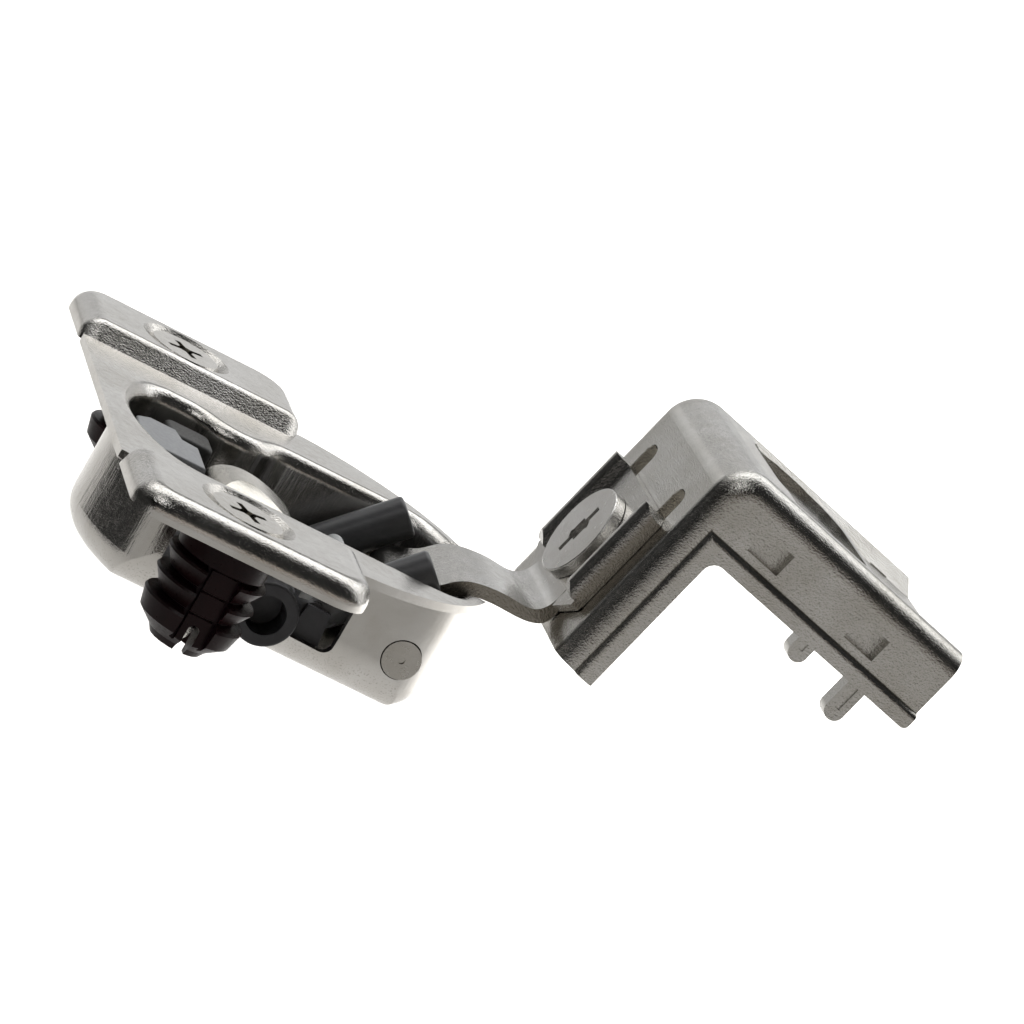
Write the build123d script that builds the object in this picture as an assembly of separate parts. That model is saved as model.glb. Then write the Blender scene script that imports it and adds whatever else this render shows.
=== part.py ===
from build123d import *
import math
import os

os.makedirs("parts", exist_ok=True)

# ---------------------------------------------------------------------------
# Concealed cup hinge, 35 mm cup, one-piece arm, L-shaped frame base.
# Millimetres. Origin: axis of the 35 mm bore on the door face (underside of
# the flange). +Z leaves the cup through its mouth, +X runs from the cup to
# the arm, +Y is the far side. The hinge stands in its open pose.
# ---------------------------------------------------------------------------

# cup
T_CUP = 0.8            # cup sheet
BUMP = (-4.8, 12.2, 10.2)   # centre of the wall pressing and the wall it stands on
BUMP_R = 4.3
CUP_R = 17.35          # outside radius of the round ends, fits a 35 mm bore
CUP_HALF = 11.0        # half width over the flat sides
CUP_Z = -11.4          # outside of the cup floor
CUP_EDGE = 2.9         # floor edge radius at the round ends
CUP_FLAT_EDGE = 4.4    # larger floor edge radius along the flat sides
CUP_CORNER = 4.0       # plan radius where flats meet the round ends
FLANGE_R = 18.5        # round tip of the flange
FLANGE_X0 = -19.8      # sheared straight end of the flange
MOUTH_R = 1.25         # draw radius at the mouth
# wings
WING_X0, WING_X1 = -19.8, 2.25
WING_FOOT, WING_TOP_IN, WING_OUT = 16.25, 18.0, 29.2
WING_Z = 2.35
WING_R_LEFT, WING_R_RIGHT = 3.0, 4.0
WING_EDGE = 1.85
# dowels and their screws
DOWEL_X, DOWEL_Y = -9.5, 22.5     # 45 mm apart, 9.5 mm behind the bore axis
DOWEL_R = 4.0
DOWEL_TIP = -10.3
SCREW_HEAD_R, SCREW_R = 3.6, 1.5
DISH_R, DISH_Z = 4.35, 1.75
# side window
WIN_X0, WIN_X1, WIN_Z0, WIN_Z1 = -10.9, 6.1, -8.8, -0.8
# pivot
PX, PZ = 11.9, -6.2
PIN_R = 1.75
EYE_CLEAR = 0.05
# arm
ARM_HALF = 4.9
EYE_R = 3.05
T_TRAY = 1.0
# base, L-section; a runs from the outer corner back along leg 1,
# b runs from the outer corner along leg 2
TH = math.radians(75.88)
OX, OZ = 29.19, 22.89
T_BASE = 1.2
BASE_HALF = 12.0
LIP_HALF = 12.7
LEG1, LEG1_DEPTH = 23.2, 3.7
LEG2, LEG2_DEPTH = 27.6, 8.1
CORNER_R = 3.5
SCREW_A = 15.3         # adjusting screw, distance from the corner
REC_HALF, REC_DEEP, REC_B = 6.5, 1.1, 6.8   # recess in the web of leg 2
POCKET_HALF = 8.6
PRONG_B, PRONG_Y, PRONG_TIP = 23.6, 7.3, 12.3
# spring capsules
FX, FZ = 3.7, -6.95    # cross pin at the lower ends
CAP_END = (11.6, 1.2)  # centre of the upper end faces
CAP_Y, CAP_R, CAP_BORE = 7.2, 1.9, 1.2
# damper
DX, DZ, D_R, D_BORE = -0.8, -7.6, 2.9, 1.8
D_Y0, D_Y1 = -12.0, 7.6


def save(shape, name):
    export_step(shape, f"parts/{name}.step")


def one(shape):
    # a single solid out of a boolean result
    s = shape.solids() if hasattr(shape, "solids") else [shape]
    s = sorted(s, key=lambda q: -q.volume)
    return s[0]


def box(x0, x1, y0, y1, z0, z1):
    return Pos((x0 + x1) / 2, (y0 + y1) / 2, (z0 + z1) / 2) * Box(x1 - x0, y1 - y0, z1 - z0)


def face_pts(pts):
    return make_face(Polyline(*pts, close=True))


def xz_prism(pts, y0, y1):
    # prism on an XZ polygon between two y planes
    f = Plane.XZ * face_pts(pts)
    return Pos(0, y0, 0) * extrude(f, amount=y1 - y0, dir=(0, 1, 0))


def yz_prism(pts, x0, x1):
    f = Plane.YZ * face_pts(pts)
    return Pos(x0, 0, 0) * extrude(f, amount=x1 - x0, dir=(1, 0, 0))


def xy_prism(pts, z0, z1):
    return Pos(0, 0, z0) * extrude(face_pts(pts), amount=z1 - z0, dir=(0, 0, 1))


def cyl_y(x, z, r, y0, y1):
    return Pos(x, (y0 + y1) / 2, z) * Rot(90, 0, 0) * Cylinder(r, y1 - y0)


def cyl_z(x, y, r, z0, z1):
    return Pos(x, y, (z0 + z1) / 2) * Cylinder(r, z1 - z0)


def mirror_y(shape):
    return mirror(shape, about=Plane.XZ)


# --------------------------------------------------------------- hinge cup
def cup_plan(r, half, corner):
    c = Circle(r) & Rectangle(60, 2 * half)
    c = fillet(c.vertices(), corner)
    return c


def cup_block(r, half, corner, z0, z1, edge, flat_edge):
    # round-ended body with a larger floor radius along its flat sides
    b = Pos(0, 0, z0) * extrude(cup_plan(r, half, corner), amount=z1 - z0, dir=(0, 0, 1))
    b = fillet(b.edges().group_by(Axis.Z)[0], edge)
    sec = face_pts([(-half, z1 + 1), (half, z1 + 1), (half, z0), (-half, z0)])
    sec = fillet([v for v in sec.vertices() if abs(v.Y - z0) < 0.01], flat_edge)
    return b & (Pos(-40, 0, 0) * extrude(Plane.YZ * sec, amount=80, dir=(1, 0, 0)))


def wall_bump(r, z0, z1, round_r):
    # upright round pressing in the far wall, run into the wall with a radius
    c = BUMP
    h = c[1] - c[2]
    d = math.sqrt((r + round_r) ** 2 - (h + round_r) ** 2)
    k = r / (r + round_r)
    p = (d * k, (h + round_r) * k)
    wire = (
        Line((c[0] - d - 6, c[2] + 4), (c[0] - d - 6, c[2]))
        + Line((c[0] - d - 6, c[2]), (c[0] - d, c[2]))
        + ThreePointArc((c[0] - d, c[2]), (c[0] - d + round_r * math.sin(0.5 * math.acos((h + round_r) / (r + round_r))), c[2] - round_r * (1 - math.cos(0.5 * math.acos((h + round_r) / (r + round_r))))), (c[0] - p[0], c[1] - p[1]))
        + ThreePointArc((c[0] - p[0], c[1] - p[1]), (c[0], c[1] - r), (c[0] + p[0], c[1] - p[1]))
        + ThreePointArc((c[0] + p[0], c[1] - p[1]), (c[0] + d - round_r * math.sin(0.5 * math.acos((h + round_r) / (r + round_r))), c[2] - round_r * (1 - math.cos(0.5 * math.acos((h + round_r) / (r + round_r))))), (c[0] + d, c[2]))
        + Line((c[0] + d, c[2]), (c[0] + d + 6, c[2]))
        + Line((c[0] + d + 6, c[2]), (c[0] + d + 6, c[2] + 4))
        + Line((c[0] + d + 6, c[2] + 4), (c[0] - d - 6, c[2] + 4))
    )
    return Pos(0, 0, z0) * extrude(make_face(wire), amount=z1 - z0, dir=(0, 0, 1))


def wing(side):
    f = face_pts([(WING_FOOT, 0), (WING_FOOT, T_CUP), (WING_TOP_IN, WING_Z), (WING_OUT, WING_Z), (WING_OUT, 0)])
    f = fillet([v for v in f.vertices() if abs(v.X - WING_TOP_IN) < 0.01 and abs(v.Y - WING_Z) < 0.01], 1.2)
    w = Pos(WING_X0, 0, 0) * extrude(Plane.YZ * f, amount=WING_X1 - WING_X0, dir=(1, 0, 0))
    w = fillet([e for e in w.edges().filter_by(Axis.Z) if e.center().X > WING_X1 - 0.01 and e.center().Y > 20], WING_R_RIGHT)
    w = fillet([e for e in w.edges().filter_by(Axis.Z) if e.center().X < WING_X0 + 0.01 and e.center().Y > 20], WING_R_LEFT)
    top = [e for e in w.edges() if abs(e.bounding_box().min.Z - WING_Z) < 1e-4 and abs(e.bounding_box().max.Z - WING_Z) < 1e-4 and e.center().Y > WING_TOP_IN + 1.6]
    return fillet(top, WING_EDGE)


def wing_hollow():
    pts = [(WING_FOOT + 0.26, -1), (WING_FOOT + 0.26, 0), (WING_TOP_IN + 0.26, WING_Z - T_CUP), (WING_OUT - T_CUP, WING_Z - T_CUP), (WING_OUT - T_CUP, -1)]
    w = yz_prism(pts, WING_X0 + T_CUP, WING_X1 - T_CUP)
    v = [e for e in w.edges().filter_by(Axis.Z) if e.center().Y > 25]
    w = fillet(v, 2.4)
    return w


def hinge_cup():
    plate = xy_prism([(FLANGE_X0, -16.2), (2.0, -16.2), (2.0, 16.2), (FLANGE_X0, 16.2)], 0, T_CUP)
    tip = cyl_z(0, 0, FLANGE_R, 0, T_CUP) & box(1.3, 30, -30, 30, -1, 3)
    body = cup_block(CUP_R, CUP_HALF, CUP_CORNER, CUP_Z, 0.4, CUP_EDGE, CUP_FLAT_EDGE)
    w = wing(1)
    cup = plate + tip + body + w + mirror_y(w)
    h = wing_hollow()
    cup = cup - h - mirror_y(h)
    # cavity, with the sheet pressed inward once on the far wall
    cav = cup_block(CUP_R - T_CUP, CUP_HALF - T_CUP, CUP_CORNER - T_CUP, CUP_Z + T_CUP, 6, CUP_EDGE - T_CUP, CUP_FLAT_EDGE - T_CUP)
    cav = cav - wall_bump(BUMP_R, -7.8, 6.5, 3.0)
    cup = cup - cav
    cup = cup - cyl_z(BUMP[0], BUMP[1], BUMP_R - 0.9, -8.2, -0.01)
    # soft draw radius round the mouth
    zt = T_CUP
    loop = [e for e in cup.edges() if abs(e.bounding_box().min.Z - zt) < 1e-4 and abs(e.bounding_box().max.Z - zt) < 1e-4
            and e.center().X ** 2 + e.center().Y ** 2 < 17.2 ** 2 and abs(e.center().Y) < 11.5]
    cup = fillet(loop, MOUTH_R)
    # lowered lip where the arm leaves the mouth
    cup = cup - yz_prism([(-7.4, T_CUP + 2), (-7.4, T_CUP), (-6.2, -0.06), (6.2, -0.06), (7.4, T_CUP), (7.4, T_CUP + 2)], 12.6, 24)
    # side window for the damper
    win = xz_prism([(WIN_X0, WIN_Z1), (WIN_X1, WIN_Z1), (WIN_X1, WIN_Z0), (WIN_X0, WIN_Z0 + 0.5)], -14, -CUP_HALF + 2.5)
    win = fillet(win.edges().filter_by(Axis.Y), 0.9)
    cup = cup - win - cyl_y(DX, DZ, D_R + 0.08, -14, -CUP_HALF + 4.7)
    # rivet holes for the pivot pin
    cup = cup - cyl_y(PX, PZ, PIN_R + 0.1, -13, 13)
    # dished screw seats in the wings
    for s in (1, -1):
        y = s * DOWEL_Y
        cup = cup + cyl_z(DOWEL_X, y, DISH_R + 0.75, DISH_Z - T_CUP, WING_Z - T_CUP + 0.2)
        dish = Pos(DOWEL_X, y, (DISH_Z + WING_Z + 0.4) / 2) * Cone(DISH_R - 0.62, DISH_R + 0.42, WING_Z + 0.4 - DISH_Z)
        cup = cup - dish
        cup = cup - cyl_z(DOWEL_X, y, 1.9, -1, 4)
        # sheared nick at the end of each wing step
        cup = cup - cyl_z(FLANGE_X0 - 0.15, s * 17.3, 0.45, -1, 4)
    return one(cup)


# ------------------------------------------------------------------ dowels
def dowel(s):
    # barbs like a fir tree: each starts with a shelf that faces the flange
    top, land = 0.9, -2.3
    pts = [(0, top), (4.6, top), (4.6, 0.05), (DOWEL_R, -0.1), (DOWEL_R, land)]
    z = land
    for k in range(3):
        last = k == 2
        pts += [(3.3, z - 0.12), (3.3, z - 0.2), (4.35, z - 0.42), (4.5, z - 0.66)]
        z -= 3.4 if last else 2.05
        pts += [(4.1, z + 1.2), (2.7, z + 0.1)] if last else [(3.62, z)]
    pts += [(2.3, DOWEL_TIP), (0, DOWEL_TIP)]
    d = revolve(Plane.XZ * face_pts(pts), Axis.Z, 360)
    d = d - cyl_z(0, 0, SCREW_R - 0.02, DOWEL_TIP - 1, 2)
    # slot that splits the tip in two, flat ribs above it front and back
    slot = box(-0.5, 0.5, -6, 6, DOWEL_TIP - 1, -7.4)
    d = d - fillet(slot.edges().filter_by(Axis.Y).group_by(Axis.Z)[-1], 0.45)
    for k in (1, -1):
        y0, y1 = sorted((k * 3.45, k * 6))
        d = d - box(-1.15, 1.15, y0, y1, DOWEL_TIP - 1, land + 0.1)
        for x0, x1 in ((-1.5, -1.1), (1.1, 1.5)):
            y0, y1 = sorted((k * 2.95, k * 6))
            d = d - box(x0, x1, y0, y1, DOWEL_TIP - 1, land - 0.1)
    return Pos(DOWEL_X, s * DOWEL_Y, 0) * one(d)


def cup_screw(s):
    head = Pos(0, 0, (DISH_Z + 2.22) / 2) * Cone(SCREW_HEAD_R, SCREW_HEAD_R - 0.35, 2.22 - DISH_Z)
    shank = cyl_z(0, 0, SCREW_R - 0.05, -8.2, DISH_Z + 0.1)
    tip = Pos(0, 0, -9.1) * Rot(180, 0, 0) * Cone(SCREW_R - 0.05, 0.25, 1.8)
    sc = head + shank + tip
    for ang in (20, 110):
        sc = sc - Pos(0, 0, 2.25) * Rot(0, 0, ang) * Box(3.7, 0.62, 1.5)
    sc = sc - Pos(0, 0, 2.2) * Cylinder(0.72, 2.2)
    return Pos(DOWEL_X, s * DOWEL_Y, 0) * one(sc)


def pivot_pin():
    p = cyl_y(PX, PZ, PIN_R, -CUP_HALF - 0.06, CUP_HALF + 0.06)
    for s in (1, -1):
        p = p - cyl_y(PX, PZ, 0.32, s * (CUP_HALF + 0.06) - 0.15, s * (CUP_HALF + 0.06) + 0.15)
    return one(p)


# --------------------------------------------------------------------- arm
D1 = (math.cos(TH), math.sin(TH))      # leg 1 direction in XZ
D2 = (math.sin(TH), -math.cos(TH))     # leg 2 direction in XZ


def ab(a, b):
    # base coordinates to XZ
    return (OX - a * D1[0] + b * D2[0], OZ - a * D1[1] + b * D2[1])


BASE = Plane(origin=(OX, 0, OZ), x_dir=(-D1[0], 0, -D1[1]), z_dir=(D2[0], 0, D2[1]))


def to_base(shape):
    # shape drawn in (a, y, b) moved to the row frame
    return BASE.location * shape


def hinge_arm():
    # one sheet: rolled eye, neck over the lip, bend, flat under the tray
    outer = [(9.15, -4.6), (9.56, -3.28), (10.18, -1.82), (11.15, -1.28), (12.01, -0.95), (13.03, -0.55), (14.3, 0.5),
             (15.5, 1.15), (17.35, 1.5), (19.35, 1.55), (20.9, 1.42), (22.0, 1.6), (22.85, 2.4), (23.3, 3.6), ab(19.0, -0.05 - T_TRAY)]
    inner = [ab(19.0, -0.05), (23.72, 1.6), (23.3, 0.85), (22.5, 0.42), (21.2, 0.24), (19.2, 0.3), (17.3, 0.25), (15.9, -0.1),
             (14.9, -0.75), (13.9, -1.65), (12.6, -2.2), (11.5, -2.4), (10.9, -2.9), (10.4, -4.0)]
    wire = Spline(*outer) + Line(outer[-1], inner[0]) + Spline(*inner) + Line(inner[-1], outer[0])
    strip = Plane.XZ * make_face(wire)
    neck = Pos(0, -ARM_HALF, 0) * extrude(strip, amount=2 * ARM_HALF, dir=(0, 1, 0))
    eye = cyl_y(PX, PZ, EYE_R, -ARM_HALF, ARM_HALF)
    arm = neck + eye
    # flat under the tray and the raised beads, section in (y, b), run along a
    t = T_TRAY
    def bead(k):
        return [(k * 5.15, -0.05 - t), (k * 5.5, -1.45), (k * 5.95, -1.95), (k * 6.65, -2.15), (k * 7.35, -1.95), (k * 7.85, -1.4), (k * 8.05, -0.75), (k * 8.1, -0.05)]
    wl, wr = bead(-1), bead(1)
    sec = Spline(*wl) + Line(wl[0], wr[0]) + Spline(*wr) + Line(wr[-1], wl[-1])
    tray = Plane.YZ * make_face(sec)
    tray = Pos(8.8, 0, 0) * extrude(tray, amount=10.4, dir=(1, 0, 0))
    # front ends of the beads slope down to the neck
    tray = tray - xz_prism([(16.9, -3.2), (19.8, -3.2), (19.8, -0.05 - t)], -9, 9)
    # rim corners at the corner-side end
    for s in (1, -1):
        tray = tray - xy_prism([(8.7, s * 7.2), (8.7, s * 8.4), (9.7, s * 8.4)], -3, 1)
    # shoulder between the neck and the tray
    sh = xy_prism([(19.0, -8.1), (19.6, -8.1), (21.3, -ARM_HALF), (21.3, ARM_HALF), (19.6, 8.1), (19.0, 8.1)], -0.05 - t * 0.95, -0.12)
    tabs = box(9.7, 14.2, 5.55, 6.7, -0.3, 1.9)
    tray = tray + sh + tabs + mirror_y(tabs)
    arm = arm + to_base(tray)
    # bores: pivot, adjusting screw
    arm = arm - cyl_y(PX, PZ, PIN_R + EYE_CLEAR, -9, 9)
    arm = arm - to_base(cyl_z(SCREW_A, 0, 2.06, -4, 4))
    return one(arm)


# -------------------------------------------------------------------- base
def base_plate():
    L = [(0, 0), (LEG1, 0), (LEG1, LEG1_DEPTH), (LEG2_DEPTH, LEG1_DEPTH), (LEG2_DEPTH, LEG2), (0, LEG2)]
    s = xz_prism(L, -BASE_HALF, BASE_HALF)
    s = fillet([e for e in s.edges().filter_by(Axis.Y) if abs(e.center().X) < 0.01 and abs(e.center().Z) < 0.01], CORNER_R)
    s = fillet([e for e in s.edges().filter_by(Axis.Y) if abs(e.center().X - LEG2_DEPTH) < 0.01 and abs(e.center().Z - LEG1_DEPTH) < 0.01], 1.2)
    s = fillet([e for e in s.edges().filter_by(Axis.Y) if abs(e.center().X - LEG2_DEPTH) < 0.01 and abs(e.center().Z - LEG2) < 0.01], 1.6)
    s = fillet([e for e in s.edges().filter_by(Axis.Y) if abs(e.center().X - LEG1) < 0.01 and abs(e.center().Z - LEG1_DEPTH) < 0.01], 1.2)
    # lip band along the free edge of the side flanges
    w = 1.75
    band = [(LEG1, LEG1_DEPTH - w), (LEG1, LEG1_DEPTH), (LEG2_DEPTH, LEG1_DEPTH), (LEG2_DEPTH, LEG2), (LEG2_DEPTH - w, LEG2), (LEG2_DEPTH - w, LEG1_DEPTH - w)]
    lip = xz_prism(band, -LIP_HALF, LIP_HALF)
    lip = fillet([e for e in lip.edges().filter_by(Axis.Y) if abs(e.center().X - LEG2_DEPTH) < 0.01 and abs(e.center().Z - LEG1_DEPTH) < 0.01], 1.2)
    lip = fillet([e for e in lip.edges().filter_by(Axis.Y) if abs(e.center().X - LEG2_DEPTH) < 0.01 and abs(e.center().Z - LEG2) < 0.01], 0.6)
    shoulder = []
    for e in lip.edges():
        bb, c = e.bounding_box(), e.center()
        if abs(bb.min.Y - bb.max.Y) < 1e-4:
            if (abs(c.X - (LEG2_DEPTH - w)) < 0.01 and c.Z > LEG1_DEPTH - w) or (abs(c.Z - (LEG1_DEPTH - w)) < 0.01 and c.X > LEG2_DEPTH - w):
                shoulder.append(e)
    lip = fillet(shoulder, 0.62)
    # rounded bends along the outer long edges
    outer_edges = []
    for e in s.edges():
        bb = e.bounding_box()
        if abs(bb.min.Y - bb.max.Y) < 1e-4 and abs(abs(bb.min.Y) - BASE_HALF) < 1e-4:
            c = e.center()
            if c.X < 0.5 and c.Z > 1 or c.Z < 0.5 and c.X > 1 or (c.X < 3 and c.Z < 3):
                outer_edges.append(e)
    s = fillet(outer_edges, 2.1)
    s = s + lip
    # channel between the side flanges
    inner = xz_prism([(T_BASE, T_BASE), (40, T_BASE), (40, 40), (T_BASE, 40)], -BASE_HALF + T_BASE, BASE_HALF - T_BASE)
    inner = fillet([e for e in inner.edges().filter_by(Axis.Y) if abs(e.center().X - T_BASE) < 0.01 and abs(e.center().Z - T_BASE) < 0.01], CORNER_R - T_BASE)
    ie = []
    for e in inner.edges():
        bb = e.bounding_box()
        if abs(bb.min.Y - bb.max.Y) < 1e-4:
            c = e.center()
            if (c.X < T_BASE + 2.5 and c.Z < T_BASE + 2.5) or (abs(c.X - T_BASE) < 0.01) or (abs(c.Z - T_BASE) < 0.01):
                ie.append(e)
    inner = fillet(ie, 0.8)
    s = s - inner
    # long recess pressed down leg 2, ramped in behind the corner and open at the end
    def recess(deep, grow):
        sec = face_pts([(-0.5, -REC_HALF - 4.4 - grow), (deep, -REC_HALF - grow), (deep, REC_HALF + grow), (-0.5, REC_HALF + 4.4 + grow)])
        r = Pos(0, 0, 3) * extrude(sec, amount=30, dir=(0, 0, 1))
        return r & xz_prism([(-2, REC_B - 2 - grow), (0, REC_B - grow), (deep, REC_B + 3.4 - grow), (deep, 40), (-2, 40)], -15, 15)
    back = recess(REC_DEEP + T_BASE, 0.9) & box(0.6, 5, -BASE_HALF + 0.6, BASE_HALF - 0.6, 0, LEG2 - 0.01)
    s = s + back - recess(REC_DEEP, 0)
    # round-ended pocket for the screw head, round the slot
    def pocket(x0, x1, grow):
        p = box(x0, x1, -POCKET_HALF - grow, POCKET_HALF + grow, 6.0 - grow, 17.6 + grow)
        return fillet(p.edges().filter_by(Axis.X), 4.6 + grow)
    s = s + pocket(0.4, REC_DEEP + T_BASE, 0.8) - pocket(-2, REC_DEEP, 0)
    slot = box(-2, 4.5, -2.5, 2.5, 6.8, 16.8)
    slot = fillet(slot.edges().filter_by(Axis.X), 2.4)
    s = s - slot
    # leg 1: slot under the adjusting screw and the two guide slots
    cs = box(SCREW_A - 3.8, SCREW_A + 3.8, -2.2, 2.2, -2, 3)
    cs = fillet(cs.edges().filter_by(Axis.Z), 2.1)
    s = s - cs
    for k in (1, -1):
        g = box(6.0, 16.6, k * 6.1 - 1.35, k * 6.1 + 1.35, -2, 3)
        g = fillet(g.edges().filter_by(Axis.Z), 1.1)
        s = s - g
    # half-sheared squares on the side flanges
    for k in (1, -1):
        for b0, b1 in ((5.6, 9.2), (17.6, 21.1)):
            y0, y1 = sorted((k * (BASE_HALF + 1), k * (BASE_HALF - 0.8)))
            s = s - box(3.3, 5.6, y0, y1, b0, b1)
            y0, y1 = sorted((k * (BASE_HALF - T_BASE + 0.1), k * (BASE_HALF - T_BASE - 0.7)))
            s = s + box(3.3, 5.6, y0, y1, b0, b1)
    # two lanced prongs
    for k in (1, -1):
        p = box(1.0, PRONG_TIP, k * PRONG_Y - 0.85, k * PRONG_Y + 0.85, PRONG_B - 1.0, PRONG_B + 1.0)
        p = fillet(p.edges().filter_by(Axis.Y).group_by(Axis.X)[-1], 0.95)
        p = p - box(4.0, PRONG_TIP - 1.2, k * PRONG_Y - 1.2, k * PRONG_Y - 0.7, PRONG_B - 0.25, PRONG_B + 0.25)
        s = s + p
    # rounded free corners of the web at the end of leg 2
    return to_base(one(s))


def adjusting_screw():
    # disc head over the tray, plain shank through arm and base
    head = cyl_z(0, 0, 4.55, -2.2, -1.12)
    head = fillet(head.edges().group_by(Axis.Z)[0], 0.13)
    sc = head + cyl_z(0, 0, 1.98, -1.4, 3.6)
    sc = sc - Pos(0, 0, -2.3) * Box(5.0, 0.72, 1.5)
    sc = sc - Pos(0, 0, -2.3) * Rot(0, 0, 40) * Box(2.5, 0.8, 1.9)
    sc = sc - Pos(0, 0, -2.3) * Box(1.85, 1.75, 2.6)
    return to_base(Pos(SCREW_A, 0, 0) * one(sc))


def adjusting_nut():
    n = box(SCREW_A - 4.0, SCREW_A + 4.0, -4.0, 4.0, T_BASE + 0.05, T_BASE + 2.0)
    n = fillet(n.edges().filter_by(Axis.Z), 0.6)
    n = n - cyl_z(SCREW_A, 0, 2.02, 0, 5)
    return to_base(one(n))


# ----------------------------------------------------------- spring capsules
CU = (CAP_END[0] - FX, CAP_END[1] - FZ)
CAP_L = math.hypot(*CU)
CAP_A = math.degrees(math.atan2(CU[1], CU[0]))


def cap_place(shape, s):
    # shape drawn along local +Z from the cross pin, swung to the capsule axis
    pl = Plane(origin=(FX, s * CAP_Y, FZ), x_dir=(CU[1] / CAP_L, 0, -CU[0] / CAP_L), z_dir=(CU[0] / CAP_L, 0, CU[1] / CAP_L))
    return pl.location * shape


def spring_housing(s):
    b = cyl_z(0, 0, CAP_R, 1.3, CAP_L)
    b = fillet(b.edges().group_by(Axis.Z)[-1], 0.35)
    foot = Rot(90, 0, 0) * Cylinder(1.5, 3.6)
    foot = foot + box(-1.35, 1.35, -1.5, 1.5, 0.2, 1.9)
    b = b + foot
    b = b - cyl_z(0, 0, CAP_BORE, 2.4, CAP_L + 1)
    # flat on the side that faces the cup wall
    b = b - Rot(90, 0, 0) * Cylinder(0.82, 8)
    return cap_place(one(b), s)


def closing_spring(s):
    path = Helix(pitch=0.85, height=4.6, radius=0.92)
    prof = Plane(origin=path @ 0, z_dir=path % 0) * Circle(0.2)
    w = sweep(prof, path=path)
    return cap_place(Pos(0, 0, 2.7) * one(w), s)


def plunger(s):
    p = cyl_z(0, 0, CAP_BORE - 0.05, 7.6, CAP_L - 0.9)
    p = fillet(p.edges().group_by(Axis.Z)[-1], 0.3)
    return cap_place(one(p), s)


def spring_pin():
    return one(cyl_y(FX, FZ, 0.78, -9.45, 9.45))


# ------------------------------------------------------------------- damper
def damper_housing():
    tube = cyl_y(DX, DZ, D_R, D_Y0, D_Y1)
    tube = fillet([e for e in tube.edges() if e.geom_type == GeomType.CIRCLE], 0.25)
    slab = box(-9.9, 6.4, -7.6, 7.6, -10.05, -8.75)
    slab = fillet(slab.edges().filter_by(Axis.Z), 3.0)
    slab = slab + box(-8.6, 5.2, -5.8, 5.8, CUP_Z + T_CUP + 0.05, -9.9)
    # pillars under the switch and under the catch block
    seat = box(-13.4, -9.1, -4.4, 2.4, -9.4, -2.45)
    seat = fillet(seat.edges().filter_by(Axis.Z), 1.2)
    post = box(-11.4, -8.6, 3.9, 7.2, -9.4, -4.65)
    h = tube + slab + seat + post
    # cradle under the middle of the cross pin, cheeks outside the capsules
    h = h + box(1.6, 5.1, -4.9, 4.9, -9.0, -6.75)
    for s in (1, -1):
        y0, y1 = sorted((s * 7.0, s * 9.3))
        h = h + box(2.3, 5.2, y0, y1, -9.0, -8.6)
        y0, y1 = sorted((s * 9.2, s * 9.7))
        h = h + xz_prism([(2.3, -8.7), (5.2, -8.7), (4.9, -5.7), (2.7, -5.7)], y0, y1)
    h = h - cyl_y(DX, DZ, D_BORE, D_Y0 - 1, D_Y1 - 1.2)
    h = h - cyl_y(FX, FZ, 0.8, -9.5, 9.5)
    return one(h)


def damper_piston():
    p = cyl_y(DX, DZ, D_BORE - 0.05, -9.2, -6.2)
    rod = cyl_y(DX, DZ, 0.7, -6.4, 0.5)
    return one(p + rod)


def damper_spring():
    path = Helix(pitch=1.1, height=6.6, radius=1.25)
    prof = Plane(origin=path @ 0, z_dir=path % 0) * Circle(0.22)
    w = sweep(prof, path=path)
    return Pos(DX, 6.1, DZ) * Rot(90, 0, 0) * one(w)


def damper_cover():
    # pressed steel saddle over the damper: wavy crest, near face falling away
    def crest(dz):
        return [(-8.3 + 0.3 * dz, -2.3 - 0.4 * dz), (-7.9 + 0.7 * dz, -1.05 - 0.8 * dz), (-6.9 + 0.4 * dz, -0.42 - dz), (-4.9, -0.15 - dz), (-2.9 - 0.1 * dz, -0.45 - dz), (-1.2 - 0.4 * dz, -1.0 - dz), (0.1 - 0.8 * dz, -1.75 - 0.7 * dz), (0.7 - 0.8 * dz, -3.0)]
    def body(dz, low):
        p = crest(dz)
        w = Spline(*p) + Line(p[-1], (p[-1][0], low)) + Line((p[-1][0], low), (p[0][0], low)) + Line((p[0][0], low), p[0])
        return Plane.XZ * make_face(w)
    c = Pos(0, -8.6, 0) * extrude(body(0, -3.9), amount=9.2, dir=(0, 1, 0))
    near = Plane.YZ * make_face(Spline((-9.5, -3.2), (-7.6, -2.0), (-5.0, -0.75), (-2.0, -0.02), (0.0, 0.12)) + Line((0.0, 0.12), (0.0, 1.5)) + Line((0.0, 1.5), (-9.5, 1.5)) + Line((-9.5, 1.5), (-9.5, -3.2)))
    c = c - Pos(-12, 0, 0) * extrude(near, amount=16, dir=(1, 0, 0))
    cav = Pos(0, -9.4, 0) * extrude(body(0.8, -4.6), amount=9.3, dir=(0, 1, 0))
    near2 = Plane.YZ * make_face(Spline((-9.5, -4.1), (-7.6, -2.9), (-5.0, -1.6), (-2.0, -0.85), (0.0, -0.7)) + Line((0.0, -0.7), (0.0, 1.5)) + Line((0.0, 1.5), (-9.5, 1.5)) + Line((-9.5, 1.5), (-9.5, -4.1)))
    cav = cav - Pos(-12, 0, 0) * extrude(near2, amount=16, dir=(1, 0, 0))
    c = c - cav
    return one(c)


def damper_catch():
    b = box(-11.9, -7.5, 3.45, 7.7, -4.6, -0.6)
    b = fillet(b.edges().filter_by(Axis.Z), 0.9)
    b = fillet(b.edges().group_by(Axis.Z)[-1], 0.4)
    return one(b)


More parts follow.
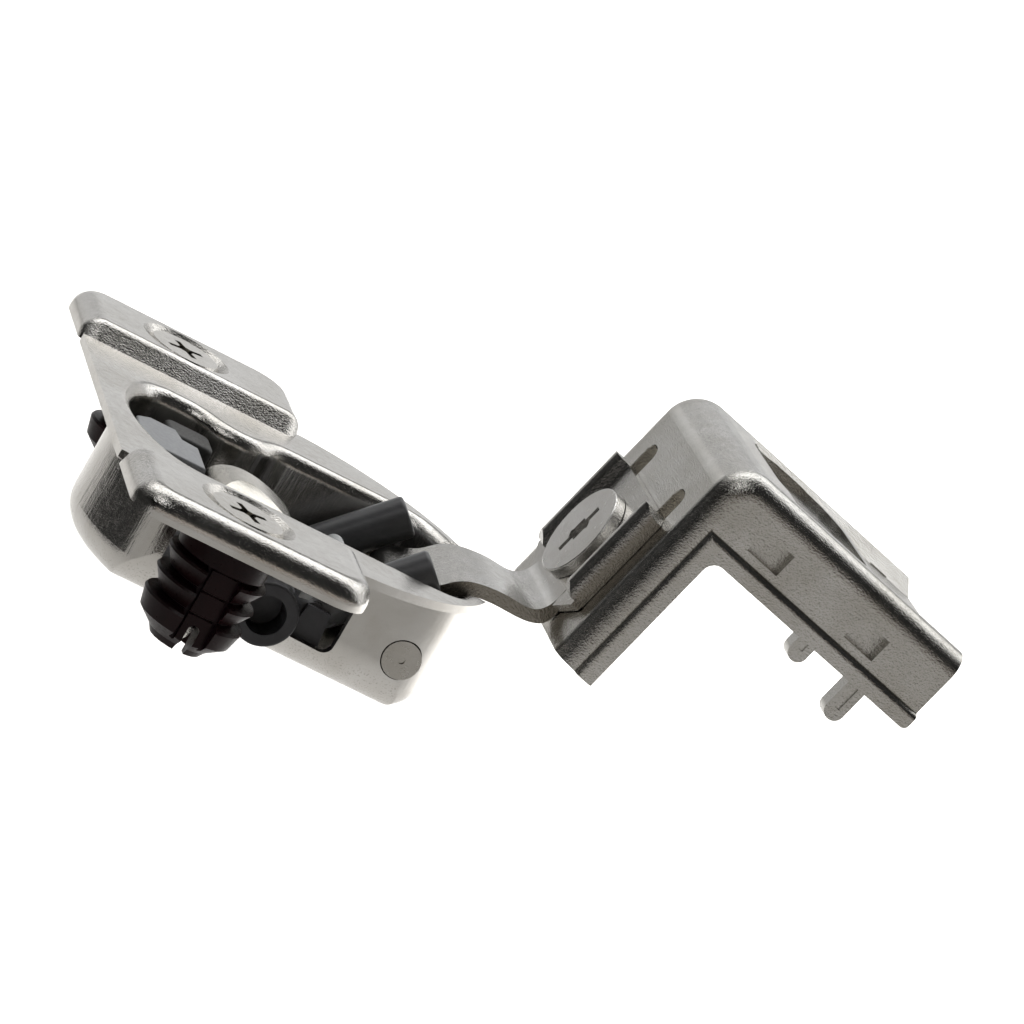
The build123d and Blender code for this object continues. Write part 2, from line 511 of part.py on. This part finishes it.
def soft_close_switch():
    b = xy_prism([(-16.1, -2.6), (-14.6, -5.2), (-9.7, -5.2), (-9.7, 0.6), (-11.2, 0.9), (-11.6, 3.1), (-14.2, 3.1), (-15.6, 1.8)], -1.15, -0.2)
    b = fillet(b.edges().group_by(Axis.Z)[-1], 0.25)
    b = b + box(-14.0, -11.0, -3.6, 1.4, -2.3, -1.05)
    return one(b)


def damper_lever():
    b = xz_prism([(1.5, 0.45), (3.2, 0.45), (3.2, -3.9), (2.4, -5.3), (1.5, -5.45)], -9.9, -8.0)
    b = fillet(b.edges().filter_by(Axis.Y).group_by(Axis.Z)[-1], 0.8)
    return one(b)


NODES = {
    "hinge_cup": hinge_cup,
    "dowel_near": lambda: dowel(-1),
    "dowel_far": lambda: dowel(1),
    "cup_screw_near": lambda: cup_screw(-1),
    "cup_screw_far": lambda: cup_screw(1),
    "pivot_pin": pivot_pin,
    "hinge_arm": hinge_arm,
    "base_plate": base_plate,
    "adjusting_screw": adjusting_screw,
    "adjusting_nut": adjusting_nut,
    "spring_housing_near": lambda: spring_housing(-1),
    "spring_housing_far": lambda: spring_housing(1),
    "spring_near": lambda: closing_spring(-1),
    "spring_far": lambda: closing_spring(1),
    "plunger_near": lambda: plunger(-1),
    "plunger_far": lambda: plunger(1),
    "spring_pin": spring_pin,
    "damper_housing": damper_housing,
    "damper_piston": damper_piston,
    "damper_spring": damper_spring,
    "damper_cover": damper_cover,
    "damper_catch": damper_catch,
    "soft_close_switch": soft_close_switch,
    "damper_lever": damper_lever,
}

for name, make in NODES.items():
    shape = make()
    bb = shape.bounding_box()
    print(f"{name:22s} vol {shape.volume:9.2f}  x {bb.min.X:7.2f} {bb.max.X:7.2f}  y {bb.min.Y:7.2f} {bb.max.Y:7.2f}  z {bb.min.Z:7.2f} {bb.max.Z:7.2f}")
    save(shape, name)
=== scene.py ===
import math

import bpy
from mathutils import Matrix, Vector

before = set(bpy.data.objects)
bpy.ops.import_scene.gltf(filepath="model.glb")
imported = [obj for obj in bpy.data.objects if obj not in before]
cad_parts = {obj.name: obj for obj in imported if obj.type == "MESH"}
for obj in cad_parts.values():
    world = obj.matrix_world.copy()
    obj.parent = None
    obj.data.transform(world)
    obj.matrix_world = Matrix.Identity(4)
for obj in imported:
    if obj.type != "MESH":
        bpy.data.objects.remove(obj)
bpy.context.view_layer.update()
scene = bpy.context.scene

# ---------------------------------------------------------------- node tools


def new_mat(name):
    m = bpy.data.materials.new(name)
    m.use_nodes = True
    nt = m.node_tree
    nt.nodes.clear()
    out = nt.nodes.new("ShaderNodeOutputMaterial")
    b = nt.nodes.new("ShaderNodeBsdfPrincipled")
    nt.links.new(b.outputs["BSDF"], out.inputs["Surface"])
    return m, nt, b


def coords(nt):
    return nt.nodes.new("ShaderNodeTexCoord").outputs["Object"]


def mapping(nt, src, scale=(1, 1, 1), rot=(0, 0, 0), loc=(0, 0, 0)):
    mp = nt.nodes.new("ShaderNodeMapping")
    mp.inputs["Scale"].default_value = scale
    mp.inputs["Rotation"].default_value = rot
    mp.inputs["Location"].default_value = loc
    nt.links.new(src, mp.inputs["Vector"])
    return mp.outputs["Vector"]


def noise(nt, src, scale, detail=4.0, rough=0.55, dist=0.0):
    n = nt.nodes.new("ShaderNodeTexNoise")
    n.inputs["Scale"].default_value = scale
    n.inputs["Detail"].default_value = detail
    n.inputs["Roughness"].default_value = rough
    n.inputs["Distortion"].default_value = dist
    nt.links.new(src, n.inputs["Vector"])
    return n.outputs["Fac"]


def ramp(nt, fac, stops, interp="LINEAR"):
    r = nt.nodes.new("ShaderNodeValToRGB")
    r.color_ramp.interpolation = interp
    el = r.color_ramp.elements
    el[0].position, el[0].color = stops[0][0], stops[0][1]
    el[1].position, el[1].color = stops[1][0], stops[1][1]
    for p, c in stops[2:]:
        e = el.new(p)
        e.color = c
    nt.links.new(fac, r.inputs["Fac"])
    return r.outputs["Color"]


def g(v, a=1.0):
    return (v, v, v, a)


def remap(nt, fac, lo, hi, f0=0.0, f1=1.0):
    n = nt.nodes.new("ShaderNodeMapRange")
    n.inputs["From Min"].default_value = f0
    n.inputs["From Max"].default_value = f1
    n.inputs["To Min"].default_value = lo
    n.inputs["To Max"].default_value = hi
    nt.links.new(fac, n.inputs["Value"])
    return n.outputs["Result"]


def math2(nt, op, a, b):
    n = nt.nodes.new("ShaderNodeMath")
    n.operation = op
    for i, v in enumerate((a, b)):
        if isinstance(v, (int, float)):
            n.inputs[i].default_value = v
        else:
            nt.links.new(v, n.inputs[i])
    return n.outputs["Value"]


def bump(nt, h, strength, dist, base=None):
    n = nt.nodes.new("ShaderNodeBump")
    n.inputs["Strength"].default_value = strength
    n.inputs["Distance"].default_value = dist
    nt.links.new(h, n.inputs["Height"])
    if base is not None:
        nt.links.new(base, n.inputs["Normal"])
    return n.outputs["Normal"]


def mix_col(nt, fac, a, b):
    n = nt.nodes.new("ShaderNodeMix")
    n.data_type = "RGBA"
    if isinstance(fac, (int, float)):
        n.inputs[0].default_value = fac
    else:
        nt.links.new(fac, n.inputs[0])
    for i, v in ((6, a), (7, b)):
        if isinstance(v, tuple):
            n.inputs[i].default_value = v
        else:
            nt.links.new(v, n.inputs[i])
    return n.outputs[2]


# ----------------------------------------------------------------- materials


CUP_AXES = ((1, 0, 0), (0, 1, 0), (0, 0, 1))
D1 = (0.243954, 0.0, 0.969787)
D2 = (0.969787, 0.0, -0.243954)
BASE_AXES = (D1, D2)
ORIGIN_B = (0.02919, 0.0, 0.02289)


def bend_mask(nt, axes, lo=0.90, hi=0.996, walls=False):
    # 1 on bends and formed curves, 0 where the sheet is flat
    nrm = nt.nodes.new("ShaderNodeTexCoord").outputs["Normal"]
    best = None
    for ax in axes:
        d = nt.nodes.new("ShaderNodeVectorMath")
        d.operation = "DOT_PRODUCT"
        nt.links.new(nrm, d.inputs[0])
        d.inputs[1].default_value = ax
        m = nt.nodes.new("ShaderNodeMath")
        m.operation = "ABSOLUTE"
        nt.links.new(d.outputs["Value"], m.inputs[0])
        best = m.outputs[0] if best is None else math2(nt, "MAXIMUM", best, m.outputs[0])
    if walls:
        # an upright drawn wall counts as smooth, whichever way it faces
        sz = nt.nodes.new("ShaderNodeSeparateXYZ")
        nt.links.new(nrm, sz.inputs[0])
        up = math2(nt, "SQRT", math2(nt, "SUBTRACT", 1.0, math2(nt, "MULTIPLY", sz.outputs["Z"], sz.outputs["Z"])), 0.0)
        best = math2(nt, "MAXIMUM", best, up)
    n = nt.nodes.new("ShaderNodeMapRange")
    n.interpolation_type = "SMOOTHSTEP"
    n.inputs["From Min"].default_value = lo
    n.inputs["From Max"].default_value = hi
    n.inputs["To Min"].default_value = 1.0
    n.inputs["To Max"].default_value = 0.0
    nt.links.new(best, n.inputs["Value"])
    return n.outputs["Result"]


def band(nt, v, lo, hi, soft):
    # 1 between lo and hi, 0 outside, over a soft edge (metres)
    a = nt.nodes.new("ShaderNodeMapRange")
    a.interpolation_type = "SMOOTHSTEP"
    a.inputs["From Min"].default_value = lo - soft
    a.inputs["From Max"].default_value = lo + soft
    nt.links.new(v, a.inputs["Value"])
    c = nt.nodes.new("ShaderNodeMapRange")
    c.interpolation_type = "SMOOTHSTEP"
    c.inputs["From Min"].default_value = hi - soft
    c.inputs["From Max"].default_value = hi + soft
    c.inputs["To Min"].default_value = 1.0
    c.inputs["To Max"].default_value = 0.0
    nt.links.new(v, c.inputs["Value"])
    return math2(nt, "MULTIPLY", a.outputs["Result"], c.outputs["Result"])


def dot_pos(nt, c, axis, origin=(0, 0, 0)):
    s = nt.nodes.new("ShaderNodeVectorMath")
    s.operation = "SUBTRACT"
    nt.links.new(c, s.inputs[0])
    s.inputs[1].default_value = origin
    d = nt.nodes.new("ShaderNodeVectorMath")
    d.operation = "DOT_PRODUCT"
    nt.links.new(s.outputs["Vector"], d.inputs[0])
    d.inputs[1].default_value = axis
    return d.outputs["Value"]


def normal_abs(nt, axis, lo, hi):
    nrm = nt.nodes.new("ShaderNodeTexCoord").outputs["Normal"]
    d = nt.nodes.new("ShaderNodeVectorMath")
    d.operation = "DOT_PRODUCT"
    nt.links.new(nrm, d.inputs[0])
    d.inputs[1].default_value = axis
    m = nt.nodes.new("ShaderNodeMath")
    m.operation = "ABSOLUTE"
    nt.links.new(d.outputs["Value"], m.inputs[0])
    return remap(nt, m.outputs[0], 0.0, 1.0, lo, hi)


def sheared_base(nt, c):
    # cut walls of the slots, inside the sheet thickness of each leg
    neg1 = (-D1[0], 0.0, -D1[2])
    a = dot_pos(nt, c, neg1, ORIGIN_B)
    b = dot_pos(nt, c, D2, ORIGIN_B)
    y = dot_pos(nt, c, (0, 1, 0))
    inner = band(nt, y, -0.0082, 0.0082, 0.0003)
    leg1 = math2(nt, "MULTIPLY", band(nt, b, 0.00010, 0.00112, 0.00006), band(nt, a, 0.0052, 0.0225, 0.0003))
    leg2 = math2(nt, "MULTIPLY", band(nt, a, 0.00125, 0.00222, 0.00006), band(nt, b, 0.0062, 0.0172, 0.0003))
    return math2(nt, "MULTIPLY", inner, math2(nt, "MAXIMUM", leg1, leg2))


def sheared_arm(nt, c):
    return normal_abs(nt, (0, 1, 0), 0.86, 0.97)


def nickel(name, tint=(0.66, 0.64, 0.60), rough=(0.20, 0.30), grain=0.10, streak=None, stain=0.25, bumps=0.35, axes=CUP_AXES, bend=0.9, edge=None, walls=False, fine_d=0.000022):
    """Satin nickel over pressed sheet: smooth on the flats, coarse glittering grain on the bends, faint stains."""
    m, nt, b = new_mat(name)
    c = coords(nt)
    fine = noise(nt, c, 5200.0, 2.0, 0.6)
    mid = noise(nt, c, 1500.0, 3.0, 0.6)
    soft = noise(nt, c, 150.0, 4.0, 0.55)
    bend_f = bend_mask(nt, axes, walls=walls)
    t = tint
    dark = (t[0] * 0.88, t[1] * 0.87, t[2] * 0.85, 1)
    lite = (min(1, t[0] * 1.05), min(1, t[1] * 1.05), min(1, t[2] * 1.06), 1)
    fac = remap(nt, soft, 0.0, 1.0, 0.35, 0.65)
    col = mix_col(nt, fac, dark, lite)
    spots = ramp(nt, noise(nt, c, 900.0, 2.0, 0.5), [(0.0, g(0.0)), (0.70, g(0.0)), (0.78, g(stain))])
    col = mix_col(nt, spots, col, (t[0] * 0.55, t[1] * 0.52, t[2] * 0.47, 1))
    pits = ramp(nt, noise(nt, c, 5600.0, 1.0, 0.5), [(0.0, g(0.0)), (0.58, g(0.0)), (0.70, g(0.35))])
    col = mix_col(nt, math2(nt, "MULTIPLY", pits, bend_f), col, (t[0] * 0.30, t[1] * 0.29, t[2] * 0.27, 1))
    if edge:
        ef = edge(nt, c)
        cut = noise(nt, c, 2300.0, 4.0, 0.7)
        col = mix_col(nt, math2(nt, "MULTIPLY", ef, 0.85), col, (t[0] * 0.36, t[1] * 0.33, t[2] * 0.28, 1))
        bend_f = math2(nt, "MAXIMUM", bend_f, math2(nt, "MULTIPLY", ef, remap(nt, cut, 0.4, 1.0, 0.3, 0.7)))
    nt.links.new(col, b.inputs["Base Color"])
    b.inputs["Metallic"].default_value = 1.0
    r = remap(nt, mid, rough[0], rough[1], 0.3, 0.7)
    nt.links.new(math2(nt, "SUBTRACT", r, math2(nt, "MULTIPLY", bend_f, 0.13)), b.inputs["Roughness"])
    nrm = bump(nt, mid, bumps, 0.00004)
    nrm = bump(nt, fine, grain * 6, fine_d, nrm)
    if streak:
        # draw lines down the walls, none on the flat flange
        lines = noise(nt, mapping(nt, c, streak), 1.0, 3.0, 0.6)
        sb = nt.nodes.new("ShaderNodeBump")
        sb.inputs["Distance"].default_value = 0.000045
        nt.links.new(normal_abs(nt, (0, 0, 1), 0.75, 0.0), sb.inputs["Strength"])
        nt.links.new(lines, sb.inputs["Height"])
        nt.links.new(nrm, sb.inputs["Normal"])
        nrm = sb.outputs["Normal"]
    gb = nt.nodes.new("ShaderNodeBump")
    gb.inputs["Distance"].default_value = 0.00006
    nt.links.new(math2(nt, "MULTIPLY", bend_f, bend), gb.inputs["Strength"])
    nt.links.new(noise(nt, c, 5600.0, 3.0, 0.65), gb.inputs["Height"])
    nt.links.new(nrm, gb.inputs["Normal"])
    nt.links.new(gb.outputs["Normal"], b.inputs["Normal"])
    return m


def plastic(name, col, rough=0.45, var=0.15, spec=0.5, bumps=0.25, fleck=None, sheen=0.0):
    m, nt, b = new_mat(name)
    c = coords(nt)
    soft = noise(nt, c, 220.0, 4.0, 0.6)
    fine = noise(nt, c, 3500.0, 3.0, 0.6)
    a = (col[0] * (1 - var), col[1] * (1 - var), col[2] * (1 - var), 1)
    d = (col[0] * (1 + var), col[1] * (1 + var), col[2] * (1 + var), 1)
    cc = mix_col(nt, remap(nt, soft, 0, 1, 0.35, 0.65), a, d)
    if fleck:
        f = ramp(nt, noise(nt, c, 2600.0, 2.0, 0.6), [(0.0, g(0)), (0.68, g(0)), (0.74, g(0.8))])
        cc = mix_col(nt, f, cc, (fleck[0], fleck[1], fleck[2], 1))
    nt.links.new(cc, b.inputs["Base Color"])
    nt.links.new(remap(nt, fine, rough - 0.08, rough + 0.10, 0.3, 0.7), b.inputs["Roughness"])
    b.inputs["Specular IOR Level"].default_value = spec
    nt.links.new(bump(nt, fine, bumps, 0.00002), b.inputs["Normal"])
    return m


M = {}
M["cup"] = nickel("cup_nickel", (0.62, 0.605, 0.575), (0.15, 0.24), stain=0.05, bend=0.75, streak=(2200.0, 2200.0, 110.0), walls=True)
M["arm"] = nickel("arm_nickel", (0.58, 0.57, 0.545), (0.18, 0.28), axes=BASE_AXES, bend=0.8, edge=sheared_arm)
M["base"] = nickel("base_nickel", (0.58, 0.57, 0.54), (0.15, 0.25), stain=0.08, bumps=0.5, grain=0.14, fine_d=0.000028, axes=BASE_AXES, bend=0.85, edge=sheared_base)
M["cover"] = nickel("cover_nickel", (0.60, 0.58, 0.53), (0.14, 0.24))
M["pin"] = nickel("pin_nickel", (0.50, 0.48, 0.44), (0.20, 0.30))
M["screw"] = nickel("screw_nickel", (0.66, 0.65, 0.63), (0.18, 0.28), axes=BASE_AXES)
M["wingscrew"] = nickel("wing_screw_nickel", (0.62, 0.60, 0.56), (0.14, 0.24))
M["inner"] = nickel("inner_steel", (0.46, 0.45, 0.42), (0.25, 0.38))
M["spring"] = nickel("spring_wire", (0.34, 0.34, 0.34), (0.25, 0.4))
M["dowel"] = plastic("dowel_nylon", (0.0125, 0.0040, 0.0046), 0.34, 0.3, 0.14)
M["capsule"] = plastic("capsule_acetal", (0.088, 0.089, 0.092), 0.36, 0.18, 0.5, bumps=0.4)
M["damper"] = plastic("damper_nylon", (0.040, 0.040, 0.044), 0.42, 0.2, 0.4)
M["catch"] = plastic("catch_nylon", (0.050, 0.050, 0.048), 0.5, 0.2, 0.35)
M["switch"] = plastic("switch_acetal", (0.22, 0.226, 0.235), 0.40, 0.06, 0.4)
M["lever"] = plastic("lever_acetal", (0.34, 0.35, 0.35), 0.5, 0.08, 0.4)
M["piston"] = plastic("piston_acetal", (0.07, 0.07, 0.075), 0.45, 0.2, 0.4)

NODE_MAT = {
    "hinge_cup": "cup", "hinge_arm": "arm", "base_plate": "base", "pivot_pin": "pin", "adjusting_screw": "screw",
    "adjusting_nut": "inner", "cup_screw_near": "wingscrew", "cup_screw_far": "wingscrew", "dowel_near": "dowel",
    "dowel_far": "dowel", "spring_housing_near": "capsule", "spring_housing_far": "capsule", "spring_near": "spring",
    "spring_far": "spring", "plunger_near": "piston", "plunger_far": "piston", "spring_pin": "inner",
    "damper_housing": "damper", "damper_piston": "piston", "damper_spring": "spring", "damper_cover": "cover",
    "damper_catch": "catch", "soft_close_switch": "switch", "damper_lever": "lever",
}
for node, key in NODE_MAT.items():
    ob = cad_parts.get(node)
    if ob is None:
        continue
    if not ob.material_slots:
        ob.data.materials.append(M[key])
    for s in ob.material_slots:
        s.material = M[key]

# -------------------------------------------------------------------- stage


def mesh_obj(name, verts, faces):
    me = bpy.data.meshes.new(name)
    me.from_pydata(verts, [], faces)
    me.update()
    ob = bpy.data.objects.new(name, me)
    scene.collection.objects.link(ob)
    return ob


FLOOR_Z = -0.25
floor = mesh_obj("stage_floor", [(-30, -30, FLOOR_Z), (30, -30, FLOOR_Z), (30, 30, FLOOR_Z), (-30, 30, FLOOR_Z)], [(0, 1, 2, 3)])
fm, fnt, fb = new_mat("pale_floor")
fn = noise(fnt, coords(fnt), 30.0, 3.0, 0.5)
fnt.links.new(mix_col(fnt, remap(fnt, fn, 0.35, 0.65), (0.555, 0.545, 0.53, 1), (0.575, 0.565, 0.55, 1)), fb.inputs["Base Color"])
fb.inputs["Roughness"].default_value = 0.9
fb.inputs["Specular IOR Level"].default_value = 0.0
floor.data.materials.append(fm)

# dark card to the left, seen only in reflections, that gives the round wall of the cup its depth
card = mesh_obj("stage_card", [(-0.6, -0.40, FLOOR_Z + 0.001), (-0.6, 0.75, FLOOR_Z + 0.001), (-0.6, 0.75, 0.22), (-0.6, -0.40, 0.22)], [(0, 1, 2, 3)])
cm, cnt, cb = new_mat("dark_card")
cn = noise(cnt, coords(cnt), 40.0, 3.0, 0.5)
cnt.links.new(mix_col(cnt, cn, (0.012, 0.012, 0.012, 1), (0.02, 0.02, 0.02, 1)), cb.inputs["Base Color"])
cb.inputs["Roughness"].default_value = 0.9
card.data.materials.append(cm)
card.visible_camera = False
card.visible_diffuse = False
card.visible_shadow = False

# world: soft studio dome, bright low behind the object, softbox overhead, dim between
w = bpy.data.worlds.new("studio")
scene.world = w
w.use_nodes = True
nt = w.node_tree
nt.nodes.clear()
wo = nt.nodes.new("ShaderNodeOutputWorld")
bg = nt.nodes.new("ShaderNodeBackground")
nt.links.new(bg.outputs[0], wo.inputs[0])
tc = nt.nodes.new("ShaderNodeTexCoord")
sp = nt.nodes.new("ShaderNodeSeparateXYZ")
nt.links.new(tc.outputs["Generated"], sp.inputs[0])
ang = math2(nt, "ARCTAN2", sp.outputs["Z"], sp.outputs["Y"])
tt = math2(nt, "DIVIDE", ang, math.pi)
wr = ramp(nt, tt, [
    (0.00, g(0.58)), (0.05, g(0.82)), (0.09, g(0.82)), (0.13, g(0.35)), (0.20, g(0.12)), (0.24, g(2.1)),
    (0.41, g(2.1)), (0.475, g(0.03)), (0.92, g(0.025)), (0.965, (0.40, 0.36, 0.32, 1)), (1.0, (0.50, 0.45, 0.40, 1))], "EASE")
wx = ramp(nt, remap(nt, sp.outputs["X"], 0, 1, -1.0, 1.0), [(0.0, g(0.10)), (0.14, g(0.12)), (0.28, g(1.0))], "EASE")
wm = nt.nodes.new("ShaderNodeMix")
wm.data_type = "RGBA"
wm.blend_type = "MULTIPLY"
wm.inputs[0].default_value = 1.0
nt.links.new(wr, wm.inputs[6])
nt.links.new(wx, wm.inputs[7])
nt.links.new(wm.outputs[2], bg.inputs["Color"])
bg.inputs["Strength"].default_value = 1.0


def area(name, loc, target, size, power, col=(1, 1, 1)):
    li = bpy.data.lights.new(name, "AREA")
    li.shape = "RECTANGLE"
    li.size, li.size_y = size
    li.energy = power
    li.color = col
    ob = bpy.data.objects.new(name, li)
    ob.location = loc
    d = Vector(target) - Vector(loc)
    ob.rotation_euler = d.to_track_quat("-Z", "Y").to_euler()
    scene.collection.objects.link(ob)
    return ob


area("key", (-0.5, -0.55, 0.9), (0.015, 0, 0), (0.5, 0.35), 1.5)
# wide soft panel over the floor behind the object
panel = area("floor_panel", (1.45, 2.25, 0.6), (1.45, 2.25, -0.25), (2.5, 3.7), 150.0)
panel.visible_glossy = False
panel.visible_camera = False

# ------------------------------------------------------------------- camera
cam = bpy.data.cameras.new("camera")
co = bpy.data.objects.new("camera", cam)
scene.collection.objects.link(co)
R = ((0.8515889, -0.1688532, 0.4962710), (0.4276469, -0.3237439, -0.8439834), (0.3031741, 0.9309557, -0.2034871))
C = (-0.12719683, -0.44361452, 0.10421915)
mw = Matrix((
    (R[0][0], -R[1][0], -R[2][0], C[0]),
    (R[0][1], -R[1][1], -R[2][1], C[1]),
    (R[0][2], -R[1][2], -R[2][2], C[2]),
    (0, 0, 0, 1)))
co.matrix_world = mw
cam.sensor_fit = "HORIZONTAL"
cam.sensor_width = 36.0
cam.lens = 5500.0 / 1024.0 * 36.0
cam.clip_start = 0.01
cam.clip_end = 100.0
scene.camera = co
scene.view_settings.view_transform = "Standard"
scene.view_settings.look = "None"
